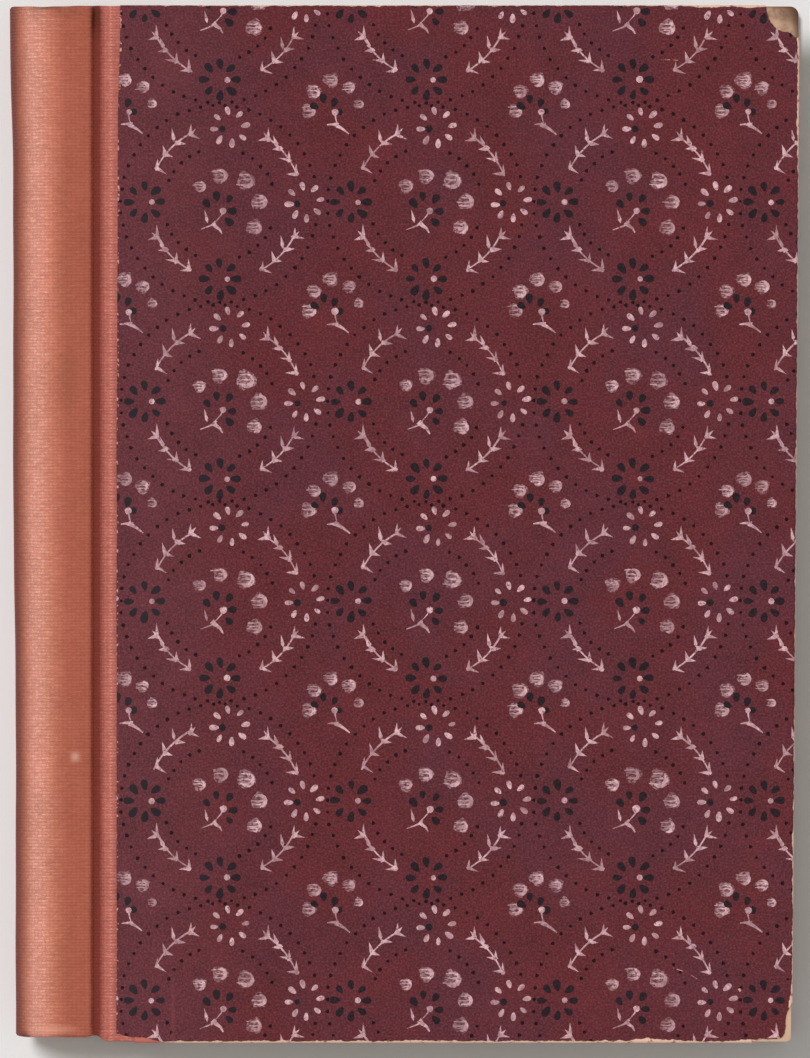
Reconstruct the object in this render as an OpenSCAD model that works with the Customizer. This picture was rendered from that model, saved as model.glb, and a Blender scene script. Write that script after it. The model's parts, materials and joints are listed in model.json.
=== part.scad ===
// A small hardback book, lying closed on its back cover.
// +X points from the spine to the fore-edge, +Y to the head, +Z up through the front cover.
// The origin is the middle of the closed book's outline, at the level it lies on. Millimetres.

/* [Covers] */
// Height of a covered board, head to tail
cover_h = 190; // [150:1:260]
// Width of a covered board at the head, from its joint edge to the fore-edge
cover_w = 127.3; // [90:0.1:180]
// Width that a board loses towards the tail, being cut a little out of square
fore_taper = 1.4; // [0:0.1:3]
// Thickness of the bare board
board_t = 2.4; // [1.8:0.1:3.6]
// Thickness of the printed covering paper and its paste
paper_t = 0.25; // [0.15:0.05:0.4]
// Thickness of the spine cloth
cloth_t = 0.45; // [0.3:0.05:0.6]
// Width of cloth that shows on the board, beside the paper
cloth_margin = 2.7; // [2:0.1:12]
// Width of cloth that runs on under the paper
cloth_lap = 3; // [2:0.5:8]
// Width of the turn-ins on the inside of the boards
turn_in = 14; // [8:1:20]
// Radius of the rubbed fore-edge corner at the head
head_corner_r = 1.8; // [0.5:0.1:4]
// Radius of the rubbed fore-edge corner at the tail
tail_corner_r = 1.2; // [0.5:0.1:4]
// Size of the patch of paper lost from the front cover's head corner
torn_corner = 6; // [3:0.5:12]

/* [Joint] */
// Depth of the pressed groove
groove_depth = 2.0; // [1:0.1:2.2]
// Half the width of the groove at its rim
groove_rim = 1.9; // [1.7:0.1:3]
// Half the width of the groove's flat floor
groove_floor = 0.4; // [0.2:0.1:0.8]
// Distance from the hinge line to the bare board
board_gap = 1.6; // [1.4:0.1:3]
// Distance that a cover's own pieces keep from the hinge line
hinge_gap = 0.15; // [0.1:0.05:0.4]

/* [Spine] */
// Distance from the hinge line out to the back of the spine
spine_reach = 14.9; // [12:0.1:18]
// Depth of the rounded part of the spine
spine_round = 8; // [6.5:0.1:9]
// Exponent of the rounded part: 2 is an ellipse, more is squarer
spine_squareness = 2.3; // [2:0.05:2.4]
// Distance by which the spine cloth stops short of the boards at the head
spine_short_head = 0.3; // [0:0.1:2]
// Distance by which the spine cloth stops short of the boards at the tail
spine_short_tail = 1; // [0:0.1:2]
// Thickness of the card inlay behind the spine cloth
inlay_t = 0.7; // [0.4:0.1:1]
// Width of the hollow behind the inlay
hollow = 0.7; // [0.6:0.05:0.9]
// Thickness of the paper lining on the back of the block
lining_t = 0.25; // [0.15:0.05:0.3]
// Thickness of the glued gauze
gauze_t = 0.25; // [0.15:0.05:0.3]
// Width of the gauze flaps on the boards
gauze_flap = 22; // [10:1:30]

/* [Pages] */
// Thickness of the block of pages
block_t = 21; // [16:0.5:30]
// Distance by which the boards stand out past the pages
square_w = 3; // [2:0.25:5]
// Depth of the hollow in the fore-edge of the pages
fore_edge_hollow = 3.2; // [0:0.1:6]
// Thickness of a pasted-down endpaper
pastedown_t = 0.25; // [0.15:0.05:0.35]
// Thickness of a free endpaper
leaf_t = 0.2; // [0.15:0.05:0.3]
// Gap between the pasted and the free endpaper in the closed book
page_gap = 0.1; // [0.05:0.05:0.3]
// Margin of turn-in that shows round a pasted-down endpaper
endpaper_margin = 3.5; // [2:0.5:6]
// Width of the head and tail bands across the back of the block
band_w = 1.5; // [1:0.1:2]
// Height of the head and tail bands above the edge of the pages
band_h = 1.6; // [1:0.1:2.4]

/* [Hidden] */

// Paste line between two glued layers, and a smaller step that keeps two faces or cuts apart
paste = 0.05;
hair = 0.01;
// Distance that a cut runs on past the edge of the piece it cuts
overrun = 1;
// Steps along a groove wall, round the spine, round a corner, along a band and up half the fore-edge
wall_steps = 10;
round_steps = 48;
corner_steps = 8;
band_steps = 20;
fore_edge_steps = 12;
// Half the angle of the spine's round that a band spans
band_angle = 52;

// Depths below a cover's outer face, where paper and cloth are wrapped round the board
under_paper = paper_t;
under_board = under_paper + board_t;
under_turn_in = under_board + paper_t;
cover_t = under_turn_in + pastedown_t;

// Levels of the closed book
book_t = block_t + 2 * (leaf_t + page_gap + cover_t);
mid_z = book_t / 2;
leaf_z = mid_z + block_t / 2;
cloth_z = book_t - paper_t;

// Places across the book; each cover turns about a line along Y at hinge_x, just clear of its outer face
book_w = spine_reach + board_gap + cover_w;
spine_x = -book_w / 2;
hinge_x = spine_x + spine_reach;
board_x = hinge_x + board_gap;
fore_x = board_x + cover_w;
paper_x = board_x + cloth_margin;
lap_x = paper_x + cloth_lap;
round_x = spine_x + spine_round;
rim_x = hinge_x - groove_rim;
page_x = hinge_x - groove_floor - paste;
page_fore_x = fore_x - fore_taper / 2 - square_w;

// Lengths head to tail
half_h = cover_h / 2;
page_half = half_h - square_w;
spine_tail_y = -half_h + spine_short_tail;
spine_head_y = half_h - spine_short_head;

// Depths of the layers behind the spine's outer face
half_spine = mid_z - paper_t;
inlay_in = cloth_t + paste;
spine_turn_in = inlay_in + inlay_t + paste;
lining_in = inlay_in + inlay_t + hollow;
gauze_in = lining_in + lining_t + paste;
back_in = gauze_in + gauze_t;

// The patch lost at the torn corner: shares of its size, back from the fore-edge and down from the head
torn_shares = [[-0.2, -0.2], [1.05, -0.2], [1, 0.35], [0.78, 0.68], [0.56, 0.8], [0.34, 0.82],
    [0.16, 0.98], [-0.2, 1.05]];

// A smooth rise from 0 to 1 as u goes from 0 to 1
function rise(u) = (1 - cos(180 * min(max(u, 0), 1))) / 2;

// Height of the groove's surface below its rim, at a distance from the hinge line
function groove_drop(d) = groove_depth * (1 - rise((d - groove_floor) / (groove_rim - groove_floor)));

// A list backwards
function backwards(list) = [for (i = [len(list) - 1:-1:0]) list[i]];

// The mirror image, below the middle of the book, of an outline's upper half
function below(upper) = [for (p = backwards(upper)) [p.x, 2 * mid_z - p.y]];

// Unit vector to the left of the way from one point to another
function left_of(a, b) = [a.y - b.y, b.x - a.x] / norm(b - a);

// A path moved to the left of its way by a distance, without the points that a tight bend folds over
function beside(path, distance) = [
    for (i = [0:len(path) - 1])
        let (p = path[i] + distance * left_of(path[max(i - 1, 0)], path[min(i + 1, len(path) - 1)]))
        if (min([for (q = path) norm(p - q)]) > abs(distance) - hair) p
];

// The outline of a strip of even thickness, to the left of a path
function strip(path, thickness) = concat(path, backwards(beside(path, thickness)));

// The upper half of the spine's round, from the flat at the top down to the back, as a superellipse
round_upper = [
    for (i = [0:round_steps / 2 - 1])
        let (turn = 90 - 180 * i / round_steps)
        [round_x - spine_round * pow(cos(turn), 2 / spine_squareness),
         mid_z + half_spine * pow(sin(turn), 2 / spine_squareness)]
];

// The spine from rim to rim, and from the groove's floor to the other groove's floor
rim_upper = concat([[rim_x, cloth_z]], round_upper);
rim_path = concat(rim_upper, [[spine_x, mid_z]], below(rim_upper));
wall_upper = concat([[hinge_x, cloth_z - groove_depth]], [
    for (i = [0:wall_steps - 1])
        let (d = groove_floor + (groove_rim - groove_floor) * i / wall_steps)
        [hinge_x - d, cloth_z - groove_drop(d)]
]);
wall_under = beside(concat(wall_upper, [rim_upper[0]]), cloth_t);
spine_path = concat(wall_upper, rim_path, below(wall_upper));

// The inlay's own path, which stops short of the rims
inlay_upper = concat([[rim_x - cloth_t, cloth_z]], round_upper);
inlay_path = concat(inlay_upper, [[spine_x, mid_z]], below(inlay_upper));

// The back of the block, behind all its layers, with the shoulders down to a level at the joint
function shoulder(base_z) = [
    for (i = [0:wall_steps - 1])
        let (u = i / wall_steps)
        [page_x + (rim_x - page_x) * u,
         base_z + (cloth_z - back_in - base_z) * rise(u)]
];
function block_back(base_z) =
    let (upper = shoulder(base_z))
    concat(upper, beside(rim_path, back_in), below(upper));

// The cloth's outer face from the groove's floor up to and along the board
joint_path = concat([[hinge_x + hinge_gap, cloth_z - groove_depth]], [
    for (i = [0:wall_steps])
        let (d = groove_floor + (groove_rim - groove_floor) * i / wall_steps)
        [hinge_x + d, cloth_z - groove_drop(d)]
], [[lap_x, cloth_z]]);
joint_under = beside(joint_path, -cloth_t - paste);

// A cover's outline seen from above, with its two rubbed corners, drawn in by an inset
function corner(x, y, r, start) = [
    for (i = [0:corner_steps])
        let (turn = start + 90 * i / corner_steps)
        [x + r * cos(turn), y + r * sin(turn)]
];
function cover_plan(left_x, inset) = concat(
    [[left_x, half_h - inset], [left_x, -half_h + inset]],
    corner(fore_x - fore_taper - tail_corner_r, -half_h + tail_corner_r, tail_corner_r - inset, -90),
    corner(fore_x - head_corner_r, half_h - head_corner_r, head_corner_r - inset, 0)
);

// A flat piece of a cover between two depths below the front cover's outer face
module layer(depth_from, depth_to) {
    translate([0, 0, book_t - depth_to]) linear_extrude(depth_to - depth_from) children();
}

// A rectangle from corner to corner
module plate(low_x, low_y, high_x, high_y) {
    translate([low_x, low_y]) square([high_x - low_x, high_y - low_y]);
}

// The field inside a margin along a board's head, fore-edge and tail
module field(left_x, margin) {
    polygon([[left_x, -half_h + margin], [fore_x - fore_taper - margin, -half_h + margin],
        [fore_x - margin, half_h - margin], [left_x, half_h - margin]]);
}

// A section in X and Z carried along the book from one Y to another
module along(low_y, high_y) {
    translate([0, high_y, 0]) rotate([90, 0, 0]) linear_extrude(high_y - low_y) children();
}

// The same piece on the other cover
module turned_over() {
    translate([0, 0, mid_z]) mirror([0, 0, 1]) translate([0, 0, -mid_z]) children();
}

// The board, cut back under the cloth on its face, ends and turn-ins, so that the covering lies level
module board() {
    core_half = half_h - paper_t - cloth_t - paste;
    difference() {
        layer(under_paper, under_board) polygon(cover_plan(board_x, paper_t));
        along(-half_h, half_h)
            polygon(concat(joint_under, [[lap_x, book_t], [hinge_x, book_t]]));
        for (side = [0, 1]) mirror([0, side, 0]) {
            layer(0, cover_t) plate(hinge_x, core_half, lap_x + hair, half_h);
            layer(under_board - cloth_t - paste, cover_t)
                plate(hinge_x, half_h - turn_in - paste, lap_x + 2 * hair, half_h);
        }
    }
}

// The cloth of a cover: down into the groove, over the board's edge and turned in at head and tail
module joint_cloth() {
    wrap_half = half_h - paper_t;
    middle = beside(joint_path, -cloth_t / 2);
    end_wall = concat(
        [[lap_x - hair, book_t - under_board + hair], [board_x, book_t - under_board + hair]],
        [[board_x, lookup(board_x, middle)]],
        [for (p = middle) if (p.x > board_x && p.x < lap_x) p],
        [[lap_x - hair, cloth_z - cloth_t / 2]]
    );
    along(-wrap_half, wrap_half) polygon(strip(joint_path, -cloth_t));
    for (side = [0, 1]) mirror([0, side, 0]) {
        along(wrap_half - cloth_t, wrap_half - hair) polygon(end_wall);
        layer(under_board - cloth_t, under_board)
            plate(board_x + hair, half_h - turn_in, lap_x - 2 * hair, wrap_half - 2 * hair);
    }
}

// The printed paper: over the outer face, round three edges and turned in
module cover_paper(torn) {
    difference() {
        layer(0, under_turn_in) polygon(cover_plan(paper_x, 0));
        layer(under_paper, under_board) polygon(cover_plan(paper_x - overrun, paper_t));
        layer(under_board - paste, under_turn_in + paste)
            field(paper_x - overrun, turn_in);
        if (torn) layer(-paste, under_board)
            polygon([for (s = torn_shares) [fore_x - torn_corner * s.x, half_h - torn_corner * s.y]]);
    }
}

// The half of the endpaper that is pasted to the board, down into the field between the turn-ins
module pastedown() {
    layer(under_turn_in, cover_t) field(hinge_x + hinge_gap, endpaper_margin);
    layer(under_board, under_turn_in) field(board_x + gauze_flap + paste, turn_in + paste);
}

// The gauze that is glued down on the board under the endpaper
module gauze_flap_strip() {
    layer(under_board, under_turn_in)
        plate(board_x, -half_h + turn_in + paste, board_x + gauze_flap, half_h - turn_in - paste);
}

// The free half of the endpaper
module flyleaf() {
    translate([0, 0, leaf_z]) linear_extrude(leaf_t)
        plate(page_x, -page_half, page_fore_x, page_half);
}

// A band at the head or tail of the block's back
module band() {
    bent = [
        for (i = [0:band_steps])
            let (turn = band_angle * (1 - 2 * i / band_steps),
                 rise_share = pow(abs(sin(turn)), 2 / spine_squareness))
            [round_x - spine_round * pow(cos(turn), 2 / spine_squareness),
             mid_z + half_spine * sign(turn) * rise_share]
    ];
    along(page_half, page_half + band_h) polygon(strip(beside(bent, back_in), band_w));
}

module text_block() {
    fore_edge = [
        for (i = [-fore_edge_steps:fore_edge_steps])
            let (u = i / fore_edge_steps)
            [page_fore_x - fore_edge_hollow * (1 - u * u), mid_z + block_t / 2 * u]
    ];
    color("#e9ddc2") along(-page_half, page_half)
        polygon(concat(block_back(leaf_z), fore_edge));
}

module front_flyleaf() { color("#efe6d0") flyleaf(); }
module back_flyleaf() { color("#efe6d0") turned_over() flyleaf(); }

module gauze() {
    base_z = leaf_z + leaf_t + paste;
    inner = concat([[hinge_x, base_z]], block_back(base_z), [[hinge_x, 2 * mid_z - base_z]]);
    color("#d9d2bd") along(-page_half + turn_in, page_half - turn_in)
        polygon(strip(inner, -gauze_t));
}

module spine_lining() {
    color("#c9b68c") along(-page_half, page_half)
        polygon(strip(beside(rim_path, lining_in), lining_t));
}

module head_band() { color("#c98a6f") band(); }
module tail_band() { color("#c98a6f") mirror([0, 1, 0]) band(); }

module spine_inlay() {
    color("#b8a47c") along(spine_tail_y + cloth_t + paste, spine_head_y - cloth_t - paste)
        polygon(strip(beside(inlay_path, inlay_in), inlay_t));
}

// The cloth is double at head and tail, where its turn-ins hold the inlay in a pocket, and single between
module spine_cloth() {
    double = concat(spine_path, backwards(concat(wall_under,
        beside(rim_path, spine_turn_in + cloth_t), below(wall_under))));
    pocket = strip(beside(inlay_path, cloth_t + hair), spine_turn_in - cloth_t - hair);
    color("#c07862") difference() {
        along(spine_tail_y, spine_head_y) polygon(double);
        along(spine_tail_y + cloth_t, spine_head_y - cloth_t) polygon(pocket);
        along(spine_tail_y + turn_in, spine_head_y - turn_in)
            polygon(strip(beside(rim_path, cloth_t), 2 * spine_turn_in));
    }
}

module front_board() { color("#c2a878") board(); }
module front_joint_cloth() { color("#b06b57") joint_cloth(); }
module front_cover_paper() { color("#67343a") cover_paper(true); }
module front_gauze_flap() { color("#d9d2bd") gauze_flap_strip(); }
module front_pastedown() { color("#efe6d0") pastedown(); }

module back_board() { color("#c2a878") turned_over() board(); }
module back_joint_cloth() { color("#b06b57") turned_over() joint_cloth(); }
module back_cover_paper() { color("#67343a") turned_over() cover_paper(false); }
module back_gauze_flap() { color("#d9d2bd") turned_over() gauze_flap_strip(); }
module back_pastedown() { color("#efe6d0") turned_over() pastedown(); }

text_block();
front_flyleaf();
back_flyleaf();
gauze();
spine_lining();
head_band();
tail_band();
spine_inlay();
spine_cloth();
front_board();
front_joint_cloth();
front_cover_paper();
front_gauze_flap();
front_pastedown();
back_board();
back_joint_cloth();
back_cover_paper();
back_gauze_flap();
back_pastedown();
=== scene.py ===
# %% [markdown]
# # A small half-bound hardback
#
# The book lies closed on its back cover: a salmon cloth spine, two boards in maroon printed paper,
# and a block of pages that shows only from the sides. Every piece below is either a part of the packed
# model with a better finish, or a new mesh that stands for such a part and keeps its form.
# Shapes are worked out in millimetres with numpy, and turned to metres when a mesh is made.

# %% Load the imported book
import json
import math

import bpy
import numpy as np
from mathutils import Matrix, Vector
from mathutils.geometry import delaunay_2d_cdt


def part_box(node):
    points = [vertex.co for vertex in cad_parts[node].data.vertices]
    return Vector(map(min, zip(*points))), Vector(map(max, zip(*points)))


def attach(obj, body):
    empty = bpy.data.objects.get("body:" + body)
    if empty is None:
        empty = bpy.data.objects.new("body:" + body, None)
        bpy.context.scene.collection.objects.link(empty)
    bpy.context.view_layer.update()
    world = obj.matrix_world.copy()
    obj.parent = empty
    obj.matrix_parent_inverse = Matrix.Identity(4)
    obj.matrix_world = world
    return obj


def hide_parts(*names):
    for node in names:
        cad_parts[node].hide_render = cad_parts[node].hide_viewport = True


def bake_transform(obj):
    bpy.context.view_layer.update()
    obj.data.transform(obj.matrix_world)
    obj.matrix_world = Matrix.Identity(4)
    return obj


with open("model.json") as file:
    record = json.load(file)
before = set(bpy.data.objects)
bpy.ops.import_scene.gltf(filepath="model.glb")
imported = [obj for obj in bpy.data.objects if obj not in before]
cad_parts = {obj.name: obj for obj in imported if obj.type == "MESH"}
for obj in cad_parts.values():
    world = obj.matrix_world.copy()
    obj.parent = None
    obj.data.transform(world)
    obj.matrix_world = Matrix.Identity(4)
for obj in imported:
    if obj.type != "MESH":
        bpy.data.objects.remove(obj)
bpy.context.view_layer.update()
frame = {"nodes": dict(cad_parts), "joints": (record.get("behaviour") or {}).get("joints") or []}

MM = 0.001
nodes = frame["nodes"]
print("parts of the book:", len(nodes))

# %% [markdown]
# ## Measures
#
# A binder measures the block and the boards before cutting cloth and paper to them. In the same way
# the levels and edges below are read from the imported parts, so that a new piece sits where its part is.


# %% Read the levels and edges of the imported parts
def box_mm(node):
    """Lowest and highest corner of a part, in millimetres."""
    low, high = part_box(node)
    return np.array(low) / MM, np.array(high) / MM


hinge_at = {joint["name"]: np.array(joint["pos_m"]) / MM for joint in frame["joints"]}
hinge_x = hinge_at["front_hinge"][0]

paper_low, paper_high = box_mm("front_cover_paper")
paper_x, fore_x = paper_low[0], paper_high[0]
half_h, book_t = paper_high[1:]
wrap_t = book_t - paper_low[2]
mid_z = book_t / 2

(spine_x, spine_tail_y, _), (_, spine_head_y, cloth_z) = box_mm("spine_cloth")
lap_x, joint_half, _ = box_mm("front_joint_cloth")[1]
board_x = box_mm("front_board")[0][0]

page_fore_x, page_half, shoulder_z = box_mm("text_block")[1]
(leaf_x, _, leaf_z), (_, _, leaf_top_z) = box_mm("front_flyleaf")
(_, _, pastedown_z), (_, fold_half, _) = box_mm("front_pastedown")
print("book", round(fore_x - spine_x, 1), "x", 2 * half_h, "x", round(book_t, 1), "mm")

# %% [markdown]
# ## Tools for meshes
#
# Most pieces are grids: one parameter runs across, one runs along, and a formula gives the point.
# A thin sheet is two such grids, one on each face, joined by a rim. The helpers here number the
# corners of the faces as whole arrays, put them in a mesh, and attach maps for the materials.


# %% Helpers for grids and sheets
def numbered(rows, columns):
    """The numbers of a grid's points, counted row by row."""
    return np.arange(rows * columns).reshape(rows, columns)


def round_way(turns):
    """Points of a circle of radius 1 at these angles."""
    return np.stack([np.cos(turns), np.sin(turns)], -1)


def turned_over(points):
    """The front cover's points mirrored about the block's middle level, for the back cover."""
    return points * [1, 1, -1] + [0, 0, book_t]


def grid_faces(rows, columns):
    """Quads of a grid of rows x columns points, wound so that row x column points to the face's front."""
    corner = numbered(rows, columns)
    return np.stack([corner[:-1, :-1], corner[1:, :-1], corner[1:, 1:], corner[:-1, 1:]], -1).reshape(-1, 4)


def grid_rim(rows, columns):
    """The grid's border as one closed ring of point numbers, along the first row first."""
    corner = numbered(rows, columns)
    return np.concatenate([corner[0, :-1], corner[:-1, -1], corner[-1, :0:-1], corner[:0:-1, 0]])


def rim_quads(ring, under):
    """Quads that join a ring of points to the same ring on the other face, whose numbers are under higher."""
    follow = np.roll(ring, -1)
    return np.stack([ring, follow, follow + under, ring + under], -1)


def add_mesh(name, points, faces, normals=None, smooth=True):
    """A mesh object from points in millimetres and lists of corners, with a normal for each point
    if given."""
    mesh = bpy.data.meshes.new(name)
    mesh.from_pydata((np.asarray(points) * MM).tolist(), [], [list(face) for face in faces])
    mesh.polygons.foreach_set("use_smooth", np.full(len(mesh.polygons), smooth))
    if normals is not None:
        mesh.normals_split_custom_set_from_vertices(normals.tolist())
    piece = bpy.data.objects.new(name, mesh)
    bpy.context.scene.collection.objects.link(piece)
    return piece


def add_map(piece, name, across):
    """A UV map with one place for each point of the mesh."""
    layer = piece.data.uv_layers.new(name=name)
    corner = np.empty(len(piece.data.loops), dtype=np.int32)
    piece.data.loops.foreach_get("vertex_index", corner)
    layer.data.foreach_set("uv", across[corner].astype(np.float32).ravel())


OUTER_SHARE, STRIP_WIDTH, STRIP_START = 0.96, 0.02, 0.975


def bake_places(flat, outer_count):
    """Places on the square from 0 to 1: the outer face fills most of it, and the inner face is squeezed
    into a strip at its side."""
    low, size = flat.min(0), np.ptp(flat, axis=0).max()
    place = (flat - low) / size
    place[:outer_count] *= OUTER_SHARE
    place[outer_count:] = place[outer_count:] * [STRIP_WIDTH, OUTER_SHARE] + [STRIP_START, 0]
    return place


def add_flat_maps(piece, name, flat):
    """The sheet's flat measures as a map for its material, the same on both faces, and a map for baking."""
    both = np.concatenate([flat, flat])
    add_map(piece, name, both)
    add_map(piece, "OFBake", bake_places(both, len(flat)))


# %% [markdown]
# ## Covering an edge
#
# Paper and cloth go over a board in the same way: flat on the face, a tight quarter turn, down the
# board's edge, another quarter turn, and back underneath as the turn-in. One formula serves for both.


# %% The path of a covering over an edge
def over_edge(along, radius, wall, inset=0.0):
    """How far out and how deep a sheet lies at a distance along it from where its first turn starts.

    Up to there it is flat. Then come a quarter circle of the given radius, a straight stretch down the
    wall, a second quarter circle, and the way back. The inset is measured inwards from the outer face.
    Also gives the angle by which the face has turned.
    """
    quarter = radius * np.pi / 2
    straight = wall - 2 * radius
    first = np.clip(along / radius, 0, np.pi / 2)
    down = np.clip(along - quarter, 0, straight)
    second = np.clip((along - quarter - straight) / radius, 0, np.pi / 2)
    back = np.maximum(along - 2 * quarter - straight, 0)
    out = np.minimum(along, 0) + radius * np.sin(first) - radius * (1 - np.cos(second)) - back
    depth = radius * (1 - np.cos(first)) + down + radius * np.sin(second)
    turned = first + second
    return out - inset * np.sin(turned), depth + inset * np.cos(turned), turned


FOLD_R = 0.5
fold_depth = over_edge(2 * wrap_t, FOLD_R, wrap_t)[1]
print("a fold of radius", FOLD_R, "mm ends", round(fold_depth, 2), "mm down, under the board")

# %% [markdown]
# ## The printed pattern
#
# The paper carries a common calico trellis: rings of leafy sprigs and dots, small daisies where the
# rings meet, and a spray of blossom in each ring and between them. It is drawn here as plain outlines
# of our own, in millimetres from the middle of a ring. An image texture would be quick, but outlines
# stay sharp at any distance, and they can be cut into the mesh of the sheet itself.

# %% Outlines of the motifs
GROUND, INK, DOT, PALE, BRUSHED, BARE, HOLE = range(7)
REPEAT = np.array([37.8, 36.54])
FIRST_RING = np.array([3.62, 22.2])


def spot(x, y, radius, count=6, wobble=0.0, turn=0.0):
    """A round spot whose radius swells and shrinks three and five times round."""
    t = np.arange(count) * 2 * np.pi / count
    r = radius * (1 + wobble * np.sin(3 * t + turn) + 0.6 * wobble * np.sin(5 * t + 2 * turn))
    return np.stack([x + r * np.cos(t), y + r * np.sin(t)], -1)


def headed(x, y, along, across, heading):
    """An outline given along and across a heading, put at a point and turned that way."""
    c, s = np.cos(heading), np.sin(heading)
    return np.stack([x + along * c - across * s, y + along * s + across * c], -1)


def petal(x, y, length, width, heading, swell=0.35):
    """A drop: an ellipse that is wider towards the end it heads for."""
    t = np.arange(10) * np.pi / 5
    along = length / 2 * np.cos(t)
    across = width / 2 * np.sin(t) * (1 + swell * np.cos(t))
    return headed(x, y, along, across, heading)


def leaf(x, y, length, width, heading):
    """A pointed leaf from its foot: it widens quickly, then runs out to the tip."""
    along = length * np.array([-0.12, 0.2, 0.5, 1.0, 0.5, 0.2])
    across = width / 2 * np.array([0, 1, 0.62, 0, -0.62, -1])
    return headed(x, y, along, across, heading)


def curl(x, y, radius, width, start, end, count):
    """A brushmark along part of a circle, full in the middle and drawn out at both ends."""
    t = np.linspace(start, end, count)
    half = width / 2 * (0.2 + 0.8 * np.sin(np.pi * np.linspace(0, 1, count)))
    way = round_way(t)
    ring = np.concatenate([way * (radius + half)[:, None], (way * (radius - half)[:, None])[::-1]])
    return ring + [x, y]


def stroke(points, width, thin_end=0.5):
    """A brushed line through points: each is moved half the width to both sides of the way."""
    points = np.array(points, float)
    way = np.gradient(points, axis=0)
    way /= np.linalg.norm(way, axis=1)[:, None]
    half = width / 2 * np.linspace(1, thin_end, len(points))[:, None] * way[:, ::-1] * [-1, 1]
    return np.concatenate([points + half, (points - half)[::-1]])


# %% [markdown]
# Eight drops round a point make a daisy, and each sprig is a stem along the ring with two leaves at
# each node. The lists give only what a printer's block would hold: where each motif sits, which way it
# heads, and its size or colour. A sprig has its first angle on the ring, the angle between its nodes, and
# the heading of its side leaves. A daisy's form is its radius, the length, width and swell of its drops,
# and its turn.


# %% The motifs of one repeat
DAISIES = [(-13.9, 0.2, INK), (-0.1, -13.9, INK), (1.7, 13.9, PALE), (15.4, 0.2, PALE)]
DAISY_FORM = {INK: (2.84, 2.0, 1.25, 0.35, 0), PALE: (2.93, 1.62, 0.9, 0.25, 0.12)}
SPRIGS = [(117.5, 12, -20), (56, -11.4, 181), (-27, -11.5, -8), (207, 11.6, 186)]
SPRIG_CENTRE, SPRIG_R = np.array([0.9, 0.2]), 14.0
BLOSSOMS = [(-3.86, 3.14, 1.2), (-0.13, 5.0, 1.4), (4.66, 4.15, 1.65), (7.05, 0.21, 1.5),
            (6.25, -4.4, 1.4), (-17.6, -13.96, 1.35), (-14.26, -15.3, 1.2), (-20.7, -16.1, 1.3),
            (-21.6, -19.7, 1.3), (-12.5, -18.4, 0.9)]
BUDS = [(-2.45, -0.13, 125), (-0.75, 1.2, 95), (1.6, 0.83, 60), (2.16, -1.46, 0), (1.54, -3.38, -45),
        (-18.98, -17.4, 95), (-16.97, -18.2, 75), (-20.5, -18.8, 150), (-16.2, -19.8, 0)]
STEMS = [[(0.45, -1.5), (0.1, -2.2), (-0.6, -3.0), (-1.2, -3.6)],
         [(-0.9, -3.4), (-1.6, -4.1), (-2.6, -4.5), (-3.7, -4.9)],
         [(-1.4, -3.6), (-0.8, -4.2), (-0.1, -4.7), (0.35, -5.5)],
         [(-16.8, -20.2), (-16.7, -21.0), (-16.5, -21.7), (-16.3, -22.4)],
         [(-16.1, -22.2), (-16.7, -22.1), (-17.4, -22.1), (-18.3, -22.2)],
         [(-16.8, -22.1), (-16.0, -22.5), (-15.2, -23.0), (-14.2, -23.8)]]
STEM_WIDTHS = [0.3, 0.42, 0.85, 0.3, 0.75, 0.8]
STEM_BALLS = [(0.53, -1.38), (-16.8, -19.85)]


def blossom(x, y, radius, number):
    """A thin wash of colour, one full mark down the right side, and streaks that run off it to the left."""
    turn = 0.45 * np.sin(2.4 * number)
    shapes = [(BRUSHED, spot(x, y, radius, 14, 0.12, number)),
              (PALE, curl(x, y, 0.74 * radius, 0.5 * radius, turn - 1.75, turn + 1.25, 7))]
    for i, height in enumerate((0.52, 0.06, -0.4)):
        reach = 0.75 + 0.3 * np.sin(1.7 * number + 2.1 * i)
        bow = 0.16 * np.sin(number + 1.3 * i)
        way = radius * np.array([(0.5, height), (0.0, height + bow), (-reach, height + 0.4 * bow)])
        shapes.append((PALE, stroke(way + [x, y], 0.24 * radius, 0.3)))
    return shapes


def daisy(x, y, colour):
    """Eight drops round a point, and a small spot of the other colour off its middle."""
    radius, length, width, swell, turn = DAISY_FORM[colour]
    drops = [(colour, petal(x + radius * np.cos(a), y + radius * np.sin(a), length, width,
                            a + 0.2 * np.sin(5 * a), swell)) for a in np.arange(8) * np.pi / 4 + turn]
    middle = (PALE, spot(x + 1.3, y, 0.55, 7)) if colour == INK else (INK, spot(x - 1.37, y - 0.3, 0.66, 7))
    return drops + [middle]


def sprig(start, step, side):
    """A stem along the ring with four nodes, each with a leaf upwards and a leaf to one side."""
    node = SPRIG_CENTRE + SPRIG_R * round_way(np.radians(start + step * np.arange(4)))
    stem = SPRIG_CENTRE + SPRIG_R * round_way(np.radians(np.linspace(start, start + 3 * step, 9)))
    shapes = [(PALE, stroke(stem, 0.3, 0.8))]
    for i, (x, y) in enumerate(node):
        sway, swing = np.sin(start + 2.1 * i), np.cos(start + 1.7 * i)
        apart = 0.45 if i == 1 else 0.0
        shapes += [(PALE, spot(x, y, 0.46 + 0.06 * sway, 6, 0.2, i)),
                   (PALE, leaf(x - apart, y + apart, 1.95 + 0.3 * swing, 0.66 + 0.12 * sway,
                               np.radians(97 + 13 * sway))),
                   (PALE, leaf(x, y, 1.8 - 0.35 * sway, 0.68 + 0.12 * swing, np.radians(side + 13 * swing)))]
    x, y = node[0]
    shapes.append((PALE, leaf(x, y, 1.5, 0.6, np.radians(start - 70 * np.sign(step)))))
    return shapes


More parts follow.
